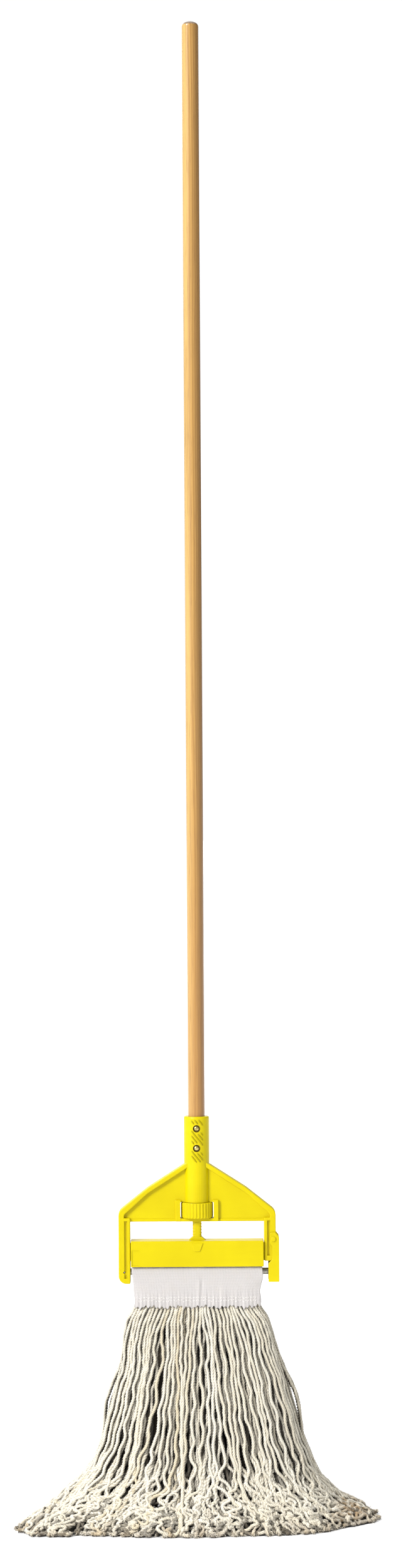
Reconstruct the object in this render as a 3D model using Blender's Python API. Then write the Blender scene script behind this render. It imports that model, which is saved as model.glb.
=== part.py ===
"""String mop on a side-gate handle: wooden pole, moulded head with a screw clamp, cotton mop.

Metres, +Z up. The mop stands on the flat underside of its yarn at z = 0, with the pole upright
over the origin. The head's front faces -Y and its gate is on the +X leg.
"""

import bpy
import bmesh
from math import acos, cos, degrees, pi, radians, sin, tan
from mathutils import Matrix, Vector

# ---------------------------------------------------------------- driving dimensions
GAP = 0.0003  # between solids that touch on the real object

POLE_RADIUS = 0.0111
POLE_LENGTH = 1.524
POLE_BOTTOM = 0.462
POLE_TOP = POLE_BOTTOM + POLE_LENGTH
POLE_DOME = 0.007  # height of the rounded upper end

SOCKET_RADIUS = 0.01665
SOCKET_TOP = 0.5365
SOCKET_LIP = 0.0022  # taper at the mouth
RIVET_HEIGHTS = {"upper": 0.521, "lower": 0.495}
RIVET_RADIUS = 0.0020
RIVET_HEAD_RADIUS = 0.0033
RIVET_CLINCH_RADIUS = 0.0030
RIVET_RECESS_RADIUS = 0.0047
RIVET_RECESS_DEPTH = 0.0026
RIVET_WASHER_THICKNESS = 0.0008

WEB_HALF_THICKNESS = 0.0062
WEB_INSET = 0.0008  # keeps the web inside the border around it
RIM_HALF_DEPTH = 0.0112
RIM_WIDTH = 0.006
WEB_BOTTOM = 0.3977
LEG_OUTER = 0.104
LEG_INNER = 0.0885
LEFT_LEG_BOTTOM = 0.316
RIGHT_LEG_BOTTOM = 0.3455
SHOULDER_Z = 0.4115  # where the sloping edge meets the leg's outer face
SLOPE_MID = (0.065, 0.4425)
SLOPE_TOP = (0.0115, 0.4767)
LEG_FLANGE = 0.0075  # the outer flange's width
LEG_RIB = 0.004  # the inner rib's width
LEG_CORE = 0.0085  # half the depth left between the leg's recesses
LEG_FOOT = 0.007  # the solid lower end of a leg
LEG_CORNERS = {"left": 0.0100, "right": 0.0015}  # radius of each leg's outer lower corner
LOWER_RIM_HEIGHT = 0.0036
CROSSBAR_BOSS_RADIUS = 0.0080

WHEEL_RADIUS = 0.0212
WHEEL_BOTTOM = 0.4024
WHEEL_TOP = 0.4228
WHEEL_RIBS = 30
WHEEL_RIB_DEPTH = 0.0007
WINDOW_HALF_WIDTH = 0.0220
WINDOW_BOTTOM = 0.4020
WINDOW_TOP = 0.4232
CHEEK_OUTER = 0.0285
CHEEK_HALF_DEPTH = 0.0105

STEM_RADIUS = 0.0062
STEM_HALF_FLAT = 0.0046  # the stem has a flat at its front and its back
STEM_TOP = 0.432
THREAD_PITCH = 0.004
THREAD_DEPTH = 0.0006
STEM_HOLE_RADIUS = 0.0068
STEM_TUNNEL_RADIUS = 0.0078
GUSSET_HALF_WIDTH = 0.0115
GUSSET_HEIGHT = 0.0044  # clear of the head when the bar is fully raised
BOSS_DROP = 0.0140  # how far the stem's foot runs down the bar's front and back
BOSS_PROUD = 0.0012

BAR_HALF_LENGTH = 0.0878
BAR_HALF_DEPTH = 0.0155
BAR_BOTTOM = 0.3386
BAR_TOP = 0.3727
BAR_WALL = 0.0026
BAR_BAYS = 4  # hollows under each half of the bar
BAR_RIB = 0.0025  # between two hollows
BAR_HUB = 0.010  # half the length of the solid middle
NOTCH_WIDTH = 0.010  # the shallow grip at the left end of the bar's front
NOTCH_HEIGHT = 0.0206
NOTCH_DEPTH = 0.0009
TONGUE_END = 0.0918
TONGUE_HALF_DEPTH = 0.0040
TONGUE_BOTTOM = 0.3455
TONGUE_TOP = 0.3690
CLAMP_TRAVEL = 0.020

CROSSBAR_Z = 0.331
CROSSBAR_RADIUS = 0.0045
CROSSBAR_LEFT = -0.1005
CROSSBAR_RIGHT = 0.1000
CROSSBAR_PIN_X = -0.0965
CROSSBAR_PIN_RADIUS = 0.0012
CROSSBAR_PIN_HALF_LENGTH = 0.0084

GATE_PIVOT = (0.1008, 0.3745)  # x and z of the hinge axis
GATE_OUTER = 0.1083
GATE_INNER = 0.0940
GATE_BOTTOM = 0.318
GATE_TOP = 0.3835
GATE_WALL = 0.0026
GATE_FLANGE_EDGE = 0.0990
GATE_WALL_DROP = 0.008  # the outer wall starts this far below the hinge
HINGE_PIN_RADIUS = 0.0020
HINGE_BOSS_RADIUS = 0.0042
HINGE_HEAD_RADIUS = 0.0034
GATE_STOP_HALF_DEPTH = 0.004

BAND_THICKNESS = 0.0008
BAND_HALF_WIDTH = 0.0865
BAND_BOTTOM = 0.287
BAND_FLARE = 0.0170  # from the middle plane to the band's lower edge
FOLD_HALF_WIDTH = 0.085
FOLD_RADIUS = 0.0113

ARC_STEPS = 5
FAR = 0.03  # a cutter's reach past any surface
ROUND = 28  # sides of a round piece
POLE_SIDES = 40  # and of the socket around the pole
PIN_SIDES = 16  # of the smallest pins and their holes
RIVET_SIDES = 20
RECESS_SIDES = 24
BEVEL_SEGMENTS = 2
SMOOTH_ANGLE = radians(32)

YELLOW = (0.84, 0.70, 0.012)
WOOD = (0.66, 0.40, 0.17)
STEEL = (0.62, 0.62, 0.60)
COTTON = (0.66, 0.62, 0.52)
BAND_WHITE = (0.80, 0.78, 0.77)

# One level of the yarn: outer (z, half width, half depth), inner likewise, and squareness.
YARN_LEVELS = [
    ((0.3255, 0.0845, 0.0112), (0.3255, 0.0780, 0.0030), 8.0),
    ((0.3030, 0.0815, 0.0140), (0.3030, 0.0750, 0.0050), 7.0),
    ((0.2860, 0.0830, 0.0165), (0.2860, 0.0765, 0.0080), 6.0),
    ((0.2690, 0.0950, 0.0240), (0.2665, 0.0870, 0.0150), 5.0),
    ((0.2300, 0.1060, 0.0330), (0.2285, 0.0975, 0.0245), 4.0),
    ((0.1700, 0.1240, 0.0460), (0.1685, 0.1150, 0.0370), 3.4),
    ((0.1100, 0.1420, 0.0600), (0.1070, 0.1330, 0.0505), 3.0),
    ((0.0650, 0.1620, 0.0760), (0.0580, 0.1520, 0.0650), 2.6),
    ((0.0380, 0.1900, 0.0930), (0.0300, 0.1740, 0.0785), 2.4),
    ((0.0220, 0.2200, 0.1080), (0.0130, 0.1920, 0.0890), 2.2),
    ((0.0080, 0.2480, 0.1220), (0.0045, 0.2010, 0.0940), 2.2),
    ((0.0000, 0.2450, 0.1195), (0.0000, 0.2030, 0.0955), 2.2),
]
YARN_STATIONS = 7  # cross sections of one bundle
YARN_SPLITS = {"left": (-90.0, -28.0), "centre": (-28.0, 28.0), "right": (28.0, 90.0)}
YARN_SPLIT_GAP = 0.4  # degrees kept free beside a split
YARN_MIDDLE_GAP = 0.0004  # from the middle plane to the front or back bundles


# ---------------------------------------------------------------- modelling helpers
def clear_scene():
    """Remove whatever the scene holds."""
    for found in list(bpy.data.objects):
        bpy.data.objects.remove(found)


def make_material(name, colour, roughness, metallic=0.0):
    """A Principled material of one colour."""
    made = bpy.data.materials.new(name)
    made.use_nodes = True
    shader = made.node_tree.nodes["Principled BSDF"]
    shader.inputs["Base Color"].default_value = (*colour, 1.0)
    shader.inputs["Roughness"].default_value = roughness
    shader.inputs["Metallic"].default_value = metallic
    return made


def make_object(name, bm, material=None):
    """An object from a bmesh, with its faces turned outward."""
    bmesh.ops.recalc_face_normals(bm, faces=bm.faces)
    mesh = bpy.data.meshes.new(name)
    bm.to_mesh(mesh)
    bm.free()
    made = bpy.data.objects.new(name, mesh)
    bpy.context.scene.collection.objects.link(made)
    if material is not None:
        mesh.materials.append(material)
    mesh.shade_smooth()
    mesh.set_sharp_from_angle(angle=SMOOTH_ANGLE)
    return made


def rounded_outline(corners):
    """Points of an outline given as (a, b, radius) corners, with an arc at each radius."""
    points = []
    for i, (a, b, radius) in enumerate(corners):
        here = Vector((a, b))
        if radius == 0:
            points.append(here)
            continue
        before = (Vector(corners[i - 1][:2]) - here).normalized()
        after = (Vector(corners[(i + 1) % len(corners)][:2]) - here).normalized()
        half = before.angle(after) / 2
        centre = here + (before + after).normalized() * radius / sin(half)
        start = here + before * radius / tan(half)
        end = here + after * radius / tan(half)
        for step in range(ARC_STEPS + 1):
            spoke = start.lerp(end, step / ARC_STEPS) - centre
            points.append(centre + spoke.normalized() * radius)
    return points


def arc(centre, radius, start, end, steps):
    """Points of an arc between two angles in degrees."""
    turns = [radians(start + (end - start) * k / steps) for k in range(steps + 1)]
    return [Vector((centre[0] + radius * cos(t), centre[1] + radius * sin(t))) for t in turns]


def prism(name, outline, low, high, plane="XZ", bevel=0.0, material=None):
    """A closed prism over an outline in the XZ, YZ or XY plane, with its sharp edges bevelled."""
    place = {
        "XZ": lambda p, h: (p[0], h, p[1]),
        "YZ": lambda p, h: (h, p[0], p[1]),
        "XY": lambda p, h: (p[0], p[1], h),
    }[plane]
    bm = bmesh.new()
    ends = [[bm.verts.new(place(p, h)) for p in outline] for h in (low, high)]
    bm.faces.new(ends[0])
    bm.faces.new(ends[1])
    for i in range(len(outline)):
        j = (i + 1) % len(outline)
        bm.faces.new((ends[0][i], ends[0][j], ends[1][j], ends[1][i]))
    bmesh.ops.recalc_face_normals(bm, faces=bm.faces)
    if bevel:
        sharp = [e for e in bm.edges if e.calc_face_angle() > SMOOTH_ANGLE]
        bmesh.ops.bevel(
            bm,
            geom=sharp,
            offset=bevel,
            segments=BEVEL_SEGMENTS,
            profile=0.5,
            affect="EDGES",
            clamp_overlap=True,
        )
    return make_object(name, bm, material)


def box(name, x, y, z, bevel=0.0, material=None):
    """A box between the (low, high) pairs x, y and z."""
    outline = [(x[0], z[0]), (x[1], z[0]), (x[1], z[1]), (x[0], z[1])]
    return prism(name, outline, y[0], y[1], bevel=bevel, material=material)


def turned(name, profile, axis, centre=(0, 0, 0), sides=ROUND, ring=False, material=None):
    """A solid of revolution about an axis through centre, from (radius, height) points.

    A ring's profile closes on itself. Any other profile starts and ends at radius 0.
    """
    bm = bmesh.new()
    rows = []
    for radius, height in profile:
        if radius == 0:
            rows.append([bm.verts.new((0, 0, height))])
            continue
        turns = [2 * pi * k / sides for k in range(sides)]
        rows.append([bm.verts.new((radius * cos(t), radius * sin(t), height)) for t in turns])
    pairs = list(zip(rows, rows[1:]))
    if ring:
        pairs.append((rows[-1], rows[0]))
    for lower, upper in pairs:
        for i in range(sides):
            j = (i + 1) % sides
            corners = []
            for row, k in ((lower, i), (lower, j), (upper, j), (upper, i)):
                vert = row[k % len(row)]
                if vert not in corners:
                    corners.append(vert)
            bm.faces.new(corners)
    turn = Vector((0, 0, 1)).rotation_difference(Vector(axis)).to_matrix().to_4x4()
    bm.transform(Matrix.Translation(centre) @ turn)
    return make_object(name, bm, material)


def rod(name, radius, axis, low, high, centre=(0, 0, 0), sides=ROUND, chamfer=0.0, material=None):
    """A round bar from low to high along an axis, with optional chamfers."""
    profile = [(0, low)]
    if chamfer:
        profile += [(radius - chamfer, low), (radius, low + chamfer)]
        profile += [(radius, high - chamfer), (radius - chamfer, high)]
    else:
        profile += [(radius, low), (radius, high)]
    profile.append((0, high))
    return turned(name, profile, axis, centre, sides, material=material)


def combine(base, tools, operation):
    """Join tools to a base object, or cut them from it, and remove them."""
    for tool in tools:
        step = base.modifiers.new(tool.name, "BOOLEAN")
        step.operation = operation
        step.object = tool
    graph = bpy.context.evaluated_depsgraph_get()
    bm = bmesh.new()
    bm.from_object(base, graph)
    bmesh.ops.remove_doubles(bm, verts=bm.verts, dist=1e-6)
    bmesh.ops.dissolve_degenerate(bm, edges=bm.edges, dist=2e-6)
    base.modifiers.clear()
    bm.to_mesh(base.data)
    bm.free()
    base.data.shade_smooth()
    base.data.set_sharp_from_angle(angle=SMOOTH_ANGLE)
    for tool in tools:
        bpy.data.objects.remove(tool)
    return base


def mirrored(outline):
    """An outline mirrored in x, in the same winding."""
    return [(-p[0], p[1]) for p in reversed(outline)]


# ---------------------------------------------------------------- pole and rivets
def rivet_bores(radius):
    """Cutters for the two cross holes."""
    reach = SOCKET_RADIUS + 0.002
    return [
        rod("bore_" + name, radius, (0, 1, 0), -reach, reach, (0, 0, height), RIVET_SIDES)
        for name, height in RIVET_HEIGHTS.items()
    ]


def make_pole(material):
    """The wooden pole, with a rounded upper end and the rivet holes."""
    edge = 0.001
    profile = [(0, POLE_BOTTOM), (POLE_RADIUS - edge, POLE_BOTTOM), (POLE_RADIUS, POLE_BOTTOM + edge)]
    for step in range(7):
        turn = radians(15 * step)
        height = POLE_TOP - POLE_DOME + POLE_DOME * sin(turn)
        profile.append((POLE_RADIUS * cos(turn) if step < 6 else 0, height))
    pole = turned("handle_pole", profile, (0, 0, 1), sides=POLE_SIDES, material=material)
    return combine(pole, rivet_bores(RIVET_RADIUS + GAP), "DIFFERENCE")


def make_rivets(material):
    """Each rivet's front head sits in a recess, and its back end is clinched over a washer."""
    head = SOCKET_RADIUS - RIVET_RECESS_DEPTH + GAP
    washer_back = head + RIVET_WASHER_THICKNESS
    clinch = washer_back + GAP
    for name, height in RIVET_HEIGHTS.items():
        profile = [
            (0, -head - 0.0017),
            (0.55 * RIVET_HEAD_RADIUS, -head - 0.0015),
            (0.87 * RIVET_HEAD_RADIUS, -head - 0.0009),
            (RIVET_HEAD_RADIUS, -head - 0.0003),
            (RIVET_HEAD_RADIUS, -head),
            (RIVET_RADIUS, -head),
            (RIVET_RADIUS, clinch),
            (RIVET_CLINCH_RADIUS, clinch),
            (RIVET_CLINCH_RADIUS, clinch + 0.0003),
            (0.67 * RIVET_CLINCH_RADIUS, clinch + 0.0007),
            (0, clinch + 0.0008),
        ]
        turned("rivet_" + name, profile, (0, 1, 0), (0, 0, height), RIVET_SIDES, material=material)
        section = [
            (RIVET_RADIUS + GAP, head),
            (RIVET_HEAD_RADIUS, head),
            (RIVET_HEAD_RADIUS, washer_back),
            (RIVET_RADIUS + GAP, washer_back),
        ]
        turned("rivet_washer_" + name, section, (0, 1, 0), (0, 0, height), RIVET_SIDES, True, material)


# ---------------------------------------------------------------- moulded head frame
def silhouette(inset):
    """Right half of the head's sloping edge, from the socket to the leg's outer face."""
    return [
        (SLOPE_TOP[0], SLOPE_TOP[1] - inset, 0),
        (SLOPE_MID[0], SLOPE_MID[1] - inset, 0.05),
        (LEG_OUTER - inset, SHOULDER_Z - inset, 0.012),
    ]


def make_web():
    """The thin house-shaped plate between the socket and the legs."""
    bottom = WEB_BOTTOM + WEB_INSET
    middle = [(0, bottom, 0), (0, SLOPE_TOP[1], 0)]
    right = rounded_outline(silhouette(WEB_INSET) + [(LEG_OUTER - WEB_INSET, bottom, 0)] + middle)
    edge = right[: -len(middle)]
    return prism("web", edge + mirrored(edge), -WEB_HALF_THICKNESS, WEB_HALF_THICKNESS)


def make_border(side, bottom, corner):
    """The deep rounded border along one sloping edge, with its leg."""
    leg_top = WEB_BOTTOM + 0.005
    outline = rounded_outline(
        silhouette(0)
        + [
            (LEG_OUTER, bottom, corner),
            (LEG_INNER, bottom, 0.0015),
            (LEG_INNER, leg_top, 0.001),
            (LEG_OUTER - LEG_FLANGE, leg_top, 0.001),
            (LEG_OUTER - LEG_FLANGE, SHOULDER_Z - 0.7 * RIM_WIDTH, 0.004),
            (SLOPE_MID[0], SLOPE_MID[1] - RIM_WIDTH - 0.001, 0.05),
            (SLOPE_TOP[0], SLOPE_TOP[1] - RIM_WIDTH - 0.001, 0),
        ]
    )
    outline = [(side * p[0], p[1]) for p in outline]
    return prism("border", outline, -RIM_HALF_DEPTH, RIM_HALF_DEPTH, bevel=0.0013)


def leg_recesses(side, bottom):
    """Cutters for the long recess in the front and the back of a leg."""
    x = sorted((side * (LEG_INNER + LEG_RIB), side * (LEG_OUTER - LEG_FLANGE)))
    z = (bottom + LEG_FOOT, WEB_BOTTOM + 0.0012)
    return [
        box("recess", x, (-FAR, -LEG_CORE), z),
        box("recess", x, (LEG_CORE, FAR), z),
    ]


def make_head_frame(material):
    """One moulding: socket, web, deep border, wheel window and two unequal legs."""
    frame = make_web()
    frame.name = "head_frame"
    frame.data.materials.append(material)
    socket = turned(
        "socket",
        [
            (0, WINDOW_TOP - 0.001),
            (SOCKET_RADIUS, WINDOW_TOP - 0.001),
            (SOCKET_RADIUS, SOCKET_TOP - SOCKET_LIP),
            (SOCKET_RADIUS - 0.0006, SOCKET_TOP - 0.0004),
            (SOCKET_RADIUS - 0.0012, SOCKET_TOP),
            (0, SOCKET_TOP),
        ],
        (0, 0, 1),
        sides=POLE_SIDES,
    )
    rim_x = (-LEG_INNER - 0.001, LEG_INNER + 0.001)
    rim_y = (-WEB_HALF_THICKNESS - 0.0012, WEB_HALF_THICKNESS + 0.0012)
    lower_rim = box("lower_rim", rim_x, rim_y, (WEB_BOTTOM, WEB_BOTTOM + LOWER_RIM_HEIGHT), 0.0008)
    bridge = box(
        "bridge",
        (-CHEEK_OUTER + 0.0004, CHEEK_OUTER - 0.0004),
        (-CHEEK_HALF_DEPTH + 0.0004, CHEEK_HALF_DEPTH - 0.0004),
        (WEB_BOTTOM + 0.0002, WINDOW_BOTTOM + 0.001),
        0.0006,
    )
    pieces = [socket, lower_rim, bridge]
    legs = ((-1, LEFT_LEG_BOTTOM, LEG_CORNERS["left"]), (1, RIGHT_LEG_BOTTOM, LEG_CORNERS["right"]))
    for side, bottom, corner in legs:
        border = make_border(side, bottom, corner)
        pieces.append(combine(border, leg_recesses(side, bottom), "DIFFERENCE"))
        x = sorted((side * (WINDOW_HALF_WIDTH - 0.001), side * CHEEK_OUTER))
        cheek_z = (WEB_BOTTOM + 0.0005, WINDOW_TOP + 0.003)
        pieces.append(box("cheek", x, (-CHEEK_HALF_DEPTH, CHEEK_HALF_DEPTH), cheek_z, 0.0009))
    low, high = -LEG_OUTER + 0.0009, -LEG_INNER - 0.0008
    pieces.append(rod("crossbar_boss", CROSSBAR_BOSS_RADIUS, (1, 0, 0), low, high, (0, 0, CROSSBAR_Z)))
    up = (0, 0, 1)
    back = (0, 1, 0)
    reach = RIM_HALF_DEPTH - 0.0003
    hinge_centre = (GATE_PIVOT[0], 0, GATE_PIVOT[1])
    pieces.append(rod("hinge_boss", HINGE_BOSS_RADIUS, back, -reach, reach, hinge_centre, RIVET_SIDES))
    combine(frame, pieces, "UNION")

    window_x = (-WINDOW_HALF_WIDTH, WINDOW_HALF_WIDTH)
    window = box("window", window_x, (-FAR, FAR), (WINDOW_BOTTOM, WINDOW_TOP))
    crossbar_centre = (0, 0, CROSSBAR_Z)
    pin_centre = (CROSSBAR_PIN_X, 0, CROSSBAR_Z)
    cutters = [
        window,
        rod("stem_hole", STEM_HOLE_RADIUS, up, WEB_BOTTOM - 0.005, WINDOW_BOTTOM + 0.005),
        rod("stem_tunnel", STEM_TUNNEL_RADIUS, up, WINDOW_TOP - 0.005, POLE_BOTTOM + 0.001),
        rod("pole_bore", POLE_RADIUS + GAP, up, POLE_BOTTOM - GAP, SOCKET_TOP + 0.01, sides=POLE_SIDES),
        rod("bar_hole", CROSSBAR_RADIUS + GAP, (1, 0, 0), CROSSBAR_LEFT - GAP, -0.08, crossbar_centre),
        rod("pin_hole", CROSSBAR_PIN_RADIUS + GAP, back, -FAR, FAR, pin_centre, PIN_SIDES),
        rod("hinge_hole", HINGE_PIN_RADIUS + GAP, back, -FAR, FAR, hinge_centre, PIN_SIDES),
    ]
    cutters += rivet_bores(RIVET_RADIUS + GAP)
    floor = SOCKET_RADIUS - RIVET_RECESS_DEPTH
    for height in RIVET_HEIGHTS.values():
        place = (0, 0, height)
        for low, high in ((-FAR, -floor), (floor, FAR)):
            cutters.append(rod("recess", RIVET_RECESS_RADIUS, back, low, high, place, RECESS_SIDES))
    for side in (-1, 1):
        x = sorted((side * (LEG_INNER - 0.002), side * (TONGUE_END + 0.0005)))
        slot_z = (TONGUE_BOTTOM - 0.006, TONGUE_TOP + CLAMP_TRAVEL + 0.003)
        slot_y = (-TONGUE_HALF_DEPTH - GAP, TONGUE_HALF_DEPTH + GAP)
        cutters.append(box("slot", x, slot_y, slot_z))
    return combine(frame, cutters, "DIFFERENCE")


# ---------------------------------------------------------------- screw clamp
def make_thumbwheel(material):
    """The ribbed wheel that turns in the window and draws the stem up or down."""
    sides = 4 * WHEEL_RIBS
    edge = 0.0012
    profile = [
        (STEM_RADIUS + 2 * GAP, WHEEL_BOTTOM),
        (WHEEL_RADIUS - edge, WHEEL_BOTTOM),
        (WHEEL_RADIUS, WHEEL_BOTTOM + edge),
        (WHEEL_RADIUS, WHEEL_TOP - edge),
        (WHEEL_RADIUS - edge, WHEEL_TOP),
        (STEM_RADIUS + 2 * GAP, WHEEL_TOP),
    ]
    wheel = turned("thumbwheel", profile, (0, 0, 1), sides=sides, ring=True, material=material)
    for k, vert in enumerate(wheel.data.vertices):
        in_groove = k % 4 >= 2
        if in_groove and vert.co.xy.length > WHEEL_RADIUS - 0.0001:
            vert.co.xy *= 1 - WHEEL_RIB_DEPTH / WHEEL_RADIUS
    wheel.data.set_sharp_from_angle(angle=SMOOTH_ANGLE)
    return wheel


def make_stem():
    """The threaded stem, with a flat at its front and its back."""
    sides = 16
    rings_per_turn = 4
    low = BAR_TOP - 0.001
    count = int((STEM_TOP - low) / THREAD_PITCH * rings_per_turn)
    thread_start = BAR_TOP + 0.005
    bm = bmesh.new()
    rows = []
    for k in range(count + 1):
        height = low + (STEM_TOP - low) * k / count
        row = []
        for i in range(sides):
            turn = 2 * pi * i / sides
            phase = (height / THREAD_PITCH - i / sides) % 1.0
            cut = THREAD_DEPTH * abs(2 * phase - 1) if height > thread_start else THREAD_DEPTH
            radius = STEM_RADIUS - cut
            y = max(-STEM_HALF_FLAT, min(STEM_HALF_FLAT, radius * sin(turn)))
            row.append(bm.verts.new((radius * cos(turn), y, height)))
        rows.append(row)
    for lower, upper in zip(rows, rows[1:]):
        for i in range(sides):
            j = (i + 1) % sides
            bm.faces.new((lower[i], lower[j], upper[j], upper[i]))
    bm.faces.new(rows[0])
    bm.faces.new(rows[-1])
    return make_object("stem", bm)


def make_clamp_bar(material):
    """The T-shaped clamp: a channel with saddle-shaped ribs inside, end tongues and the stem."""
    saddle = FOLD_RADIUS + 2 * GAP + BAND_THICKNESS + GAP
    start = 90 - degrees(acos((BAR_BOTTOM - CROSSBAR_Z) / saddle))
    ceiling = arc((0, CROSSBAR_Z), saddle, start, 180 - start, 12)
    outline = [Vector((BAR_HALF_DEPTH, BAR_BOTTOM))] + ceiling + [Vector((-BAR_HALF_DEPTH, BAR_BOTTOM))]
    outline += rounded_outline(
        [
            (-BAR_HALF_DEPTH, BAR_BOTTOM + 0.01, 0),
            (-BAR_HALF_DEPTH, BAR_TOP, 0.0022),
            (BAR_HALF_DEPTH, BAR_TOP, 0.0022),
            (BAR_HALF_DEPTH, BAR_BOTTOM + 0.01, 0),
        ]
    )
    ends = (-BAR_HALF_LENGTH, BAR_HALF_LENGTH)
    bar = prism("clamp_bar", outline, *ends, "YZ", 0.0008, material)
    gusset_outline = [
        (-GUSSET_HALF_WIDTH, BAR_TOP - 0.004),
        (GUSSET_HALF_WIDTH, BAR_TOP - 0.004),
        (GUSSET_HALF_WIDTH, BAR_TOP),
        (STEM_RADIUS, BAR_TOP + GUSSET_HEIGHT),
        (-STEM_RADIUS, BAR_TOP + GUSSET_HEIGHT),
        (-GUSSET_HALF_WIDTH, BAR_TOP),
    ]
    gusset_half = STEM_HALF_FLAT + 0.0006
    gusset = prism("gusset", gusset_outline, -gusset_half, gusset_half, bevel=0.0005)
    boss_outline = [
        (-0.6 * STEM_RADIUS, BAR_TOP - BOSS_DROP),
        (0.6 * STEM_RADIUS, BAR_TOP - BOSS_DROP),
        (1.3 * STEM_RADIUS, BAR_TOP - 0.0026),
        (-1.3 * STEM_RADIUS, BAR_TOP - 0.0026),
    ]
    boss_half = BAR_HALF_DEPTH + BOSS_PROUD
    boss = prism("boss", boss_outline, -boss_half, boss_half, bevel=0.0008)
    tongues = []
    for side in (-1, 1):
        x = sorted((side * (BAR_HALF_LENGTH - 0.002), side * TONGUE_END))
        y = (-TONGUE_HALF_DEPTH, TONGUE_HALF_DEPTH)
        tongues.append(box("tongue", x, y, (TONGUE_BOTTOM, TONGUE_TOP), 0.0006))

    inner = BAR_HALF_DEPTH - BAR_WALL
    last = BAR_HALF_LENGTH - BAR_WALL
    pitch = (last - BAR_HUB + BAR_RIB) / BAR_BAYS
    hollows = []
    for side in (-1, 1):
        for k in range(BAR_BAYS):
            near = BAR_HUB + k * pitch
            x = sorted((side * near, side * (near + pitch - BAR_RIB)))
            hollows.append(box("hollow", x, (-inner, inner), (BAR_BOTTOM - 0.01, BAR_TOP - BAR_WALL)))
    notch_left = -BAR_HALF_LENGTH + 0.0012
    notch_low = BAR_BOTTOM + 0.0016
    notch_x = (notch_left, notch_left + NOTCH_WIDTH)
    notch_y = (-FAR, -BAR_HALF_DEPTH + NOTCH_DEPTH)
    notch = box("notch", notch_x, notch_y, (notch_low, notch_low + NOTCH_HEIGHT))
    combine(bar, hollows + [notch], "DIFFERENCE")
    return combine(bar, [boss, gusset, make_stem()] + tongues, "UNION")


# ---------------------------------------------------------------- crossbar and gate
def make_crossbar(material):
    """The steel bar through the mop's fold, and the pin that keeps it in the left leg."""
    ends = (CROSSBAR_LEFT, CROSSBAR_RIGHT)
    bar = rod("crossbar", CROSSBAR_RADIUS, (1, 0, 0), *ends, (0, 0, CROSSBAR_Z), 24, 0.001, material)
    place = (CROSSBAR_PIN_X, 0, CROSSBAR_Z)
    hole = rod("pin_hole", CROSSBAR_PIN_RADIUS + GAP, (0, 1, 0), -FAR, FAR, place, PIN_SIDES)
    combine(bar, [hole], "DIFFERENCE")
    pin_ends = (-CROSSBAR_PIN_HALF_LENGTH, CROSSBAR_PIN_HALF_LENGTH)
    rod("crossbar_pin", CROSSBAR_PIN_RADIUS, (0, 1, 0), *pin_ends, place, PIN_SIDES, 0.0003, material)


def make_gate(material):
    """The side gate: two flanges that straddle the leg, an outer wall and a cradle for the bar."""
    pivot_x, pivot_z = GATE_PIVOT
    near = RIM_HALF_DEPTH + GAP
    far = near + GATE_WALL
    flange = rounded_outline(
        [
            (GATE_INNER, GATE_BOTTOM, 0.001),
            (GATE_OUTER, GATE_BOTTOM, 0.001),
            (GATE_OUTER, pivot_z + 0.003, 0.003),
            (GATE_OUTER - 0.005, GATE_TOP, 0.002),
            (pivot_x - 0.0045, GATE_TOP, 0.003),
            (pivot_x - 0.0052, pivot_z - 0.005, 0.003),
            (GATE_FLANGE_EDGE, pivot_z - 0.009, 0.002),
            (GATE_FLANGE_EDGE, RIGHT_LEG_BOTTOM + 0.002, 0.002),
            (GATE_INNER, RIGHT_LEG_BOTTOM - 0.003, 0.001),
        ]
    )
    gate = prism("gate_arm", flange, -far, -near, bevel=0.0007, material=material)
    back_flange = prism("back_flange", flange, near, far, bevel=0.0007)
    inside = GATE_OUTER - GATE_WALL
    wall = box(
        "wall",
        (inside, GATE_OUTER - 0.0003),
        (-far + 0.0004, far - 0.0004),
        (GATE_BOTTOM + 0.0003, pivot_z - GATE_WALL_DROP),
        0.0006,
    )
    floor = box(
        "floor",
        (GATE_INNER + 0.0003, GATE_OUTER - 0.0006),
        (-far + 0.0006, far - 0.0006),
        (GATE_BOTTOM + 0.0002, GATE_BOTTOM + 0.0028),
        0.0005,
    )
    cradle = box(
        "cradle",
        (GATE_INNER + 0.0008, inside + 0.001),
        (-0.0078, 0.0078),
        (GATE_BOTTOM + 0.001, CROSSBAR_Z - 0.0004),
        0.0006,
    )
    stop = box(
        "stop",
        (LEG_OUTER + GAP, inside + 0.001),
        (-GATE_STOP_HALF_DEPTH, GATE_STOP_HALF_DEPTH),
        (RIGHT_LEG_BOTTOM + 0.001, RIGHT_LEG_BOTTOM + 0.006),
    )
    combine(gate, [back_flange, wall, floor, cradle, stop], "UNION")
    place = (pivot_x, 0, pivot_z)
    groove_ends = (GATE_INNER - 0.01, CROSSBAR_RIGHT + GAP)
    groove = rod("groove", CROSSBAR_RADIUS + GAP, (1, 0, 0), *groove_ends, (0, 0, CROSSBAR_Z))
    hole = rod("hole", HINGE_PIN_RADIUS + GAP, (0, 1, 0), -FAR, FAR, place, PIN_SIDES)
    combine(gate, [groove, hole], "DIFFERENCE")
    gate.data.transform(Matrix.Translation((-pivot_x, 0, -pivot_z)))
    gate.location = place
    return gate


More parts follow.
